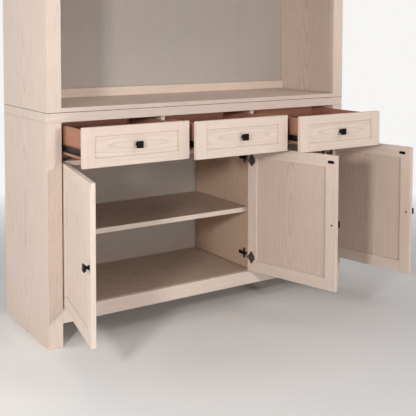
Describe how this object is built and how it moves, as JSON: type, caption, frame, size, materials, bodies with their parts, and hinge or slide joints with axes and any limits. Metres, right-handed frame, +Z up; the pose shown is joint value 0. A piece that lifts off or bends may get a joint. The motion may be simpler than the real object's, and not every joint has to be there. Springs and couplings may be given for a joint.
{
  "type": "hutch cabinet",
  "caption": "Open hutch on a wooden base with a row of shaker drawers over hinged shaker doors, black square knobs, slides and concealed hinges.",
  "frame": {"origin": "on the floor, under the middle of the left end panel of the base", "axes": "+Z up; +Y from the front to the back of the cabinet; +X from the left end to the right end as seen from the front"},
  "size_m": [1.599, 0.9152, 1.981],
  "materials": {
    "pale_wood": "lime-washed pale oak look, matt",
    "inner_wood": "taupe laminated inner boards, matt",
    "drawer_wood": "red-brown drawer sides, satin",
    "slide_steel": "dark coated steel, satin",
    "hinge_steel": "dark coated steel, satin",
    "black_metal": "black, satin"
  },
  "bodies": {
    "cabinet": {"base_end_left": "pale_wood", "base_end_right": "pale_wood", "base_top": "pale_wood", "bottom_rail": "pale_wood", "mid_rail": "pale_wood", "drawer_divider": "pale_wood", "partition": "pale_wood", "deck": "inner_wood", "base_back": "inner_wood", "shelf_left": "inner_wood", "shelf_right": "inner_wood", "hutch_end_left": "pale_wood", "hutch_end_right": "pale_wood", "hutch_deck": "pale_wood", "hutch_back": "pale_wood", "hutch_back_rail": "pale_wood", "hutch_shelf": "pale_wood", "hutch_top": "pale_wood", "drawer_1_slide_left_cabinet": "slide_steel", "drawer_1_slide_right_cabinet": "slide_steel", "door_1_hinge_arm_lower": "hinge_steel", "door_1_hinge_arm_upper": "hinge_steel", "drawer_2_slide_left_cabinet": "slide_steel", "drawer_2_slide_right_cabinet": "slide_steel", "door_2_hinge_arm_lower": "hinge_steel", "door_2_hinge_arm_upper": "hinge_steel", "drawer_3_slide_left_cabinet": "slide_steel", "drawer_3_slide_right_cabinet": "slide_steel", "door_3_hinge_arm_lower": "hinge_steel", "door_3_hinge_arm_upper": "hinge_steel"},
    "drawer_1": {"drawer_1_front": "pale_wood", "drawer_1_box": "drawer_wood", "drawer_1_knob": "black_metal", "drawer_1_slide_left_drawer": "slide_steel", "drawer_1_slide_right_drawer": "slide_steel"},
    "drawer_2": {"drawer_2_front": "pale_wood", "drawer_2_box": "drawer_wood", "drawer_2_knob": "black_metal", "drawer_2_slide_left_drawer": "slide_steel", "drawer_2_slide_right_drawer": "slide_steel"},
    "drawer_3": {"drawer_3_front": "pale_wood", "drawer_3_box": "drawer_wood", "drawer_3_knob": "black_metal", "drawer_3_slide_left_drawer": "slide_steel", "drawer_3_slide_right_drawer": "slide_steel"},
    "door_1": {"door_1_leaf": "pale_wood", "door_1_knob": "black_metal", "door_1_hinge_cup_lower": "hinge_steel", "door_1_hinge_cup_upper": "hinge_steel"},
    "door_2_links": {"door_2_hinge_link_lower": "hinge_steel", "door_2_hinge_link_upper": "hinge_steel"},
    "door_2": {"door_2_leaf": "pale_wood", "door_2_knob": "black_metal", "door_2_hinge_cup_lower": "hinge_steel", "door_2_hinge_cup_upper": "hinge_steel"},
    "door_3": {"door_3_leaf": "pale_wood", "door_3_knob": "black_metal", "door_3_hinge_cup_lower": "hinge_steel", "door_3_hinge_cup_upper": "hinge_steel"}
  },
  "joints": [
    {"name": "drawer_1_slide", "type": "slide", "parent": "cabinet", "child": "drawer_1", "axis": [0, -1, 0], "range_m": [-0.185, 0.13]},
    {"name": "drawer_2_slide", "type": "slide", "parent": "cabinet", "child": "drawer_2", "axis": [0, -1, 0], "range_m": [-0.231, 0.084]},
    {"name": "drawer_3_slide", "type": "slide", "parent": "cabinet", "child": "drawer_3", "axis": [0, -1, 0], "range_m": [-0.31, 0.005]},
    {"name": "door_1_swing", "type": "hinge", "parent": "cabinet", "child": "door_1", "pos_m": [0.0626, -0.2305, 0.43695], "axis": [0, 0, -1], "range_deg": [-101.7, 3.3]},
    {"name": "door_2_link_turn", "type": "hinge", "parent": "cabinet", "child": "door_2_links", "pos_m": [0.9436, -0.2196, 0.43695], "axis": [0, 0, -1], "range_deg": [-79.51, 0.76]},
    {"name": "door_2_swing", "type": "hinge", "parent": "door_2_links", "child": "door_2", "pos_m": [0.94461, -0.24097, 0.43695], "axis": [0, 0, 1], "range_deg": [-184.5, 1.76]},
    {"name": "door_3_swing", "type": "hinge", "parent": "cabinet", "child": "door_3", "pos_m": [1.4244, -0.2305, 0.43695], "axis": [0, 0, 1], "range_deg": [-101.7, 3.3]}
  ],
  "couplings": [
    {"joint": "door_2_link_turn", "follows": "door_2_swing", "ratio": 0.43089}
  ]
}
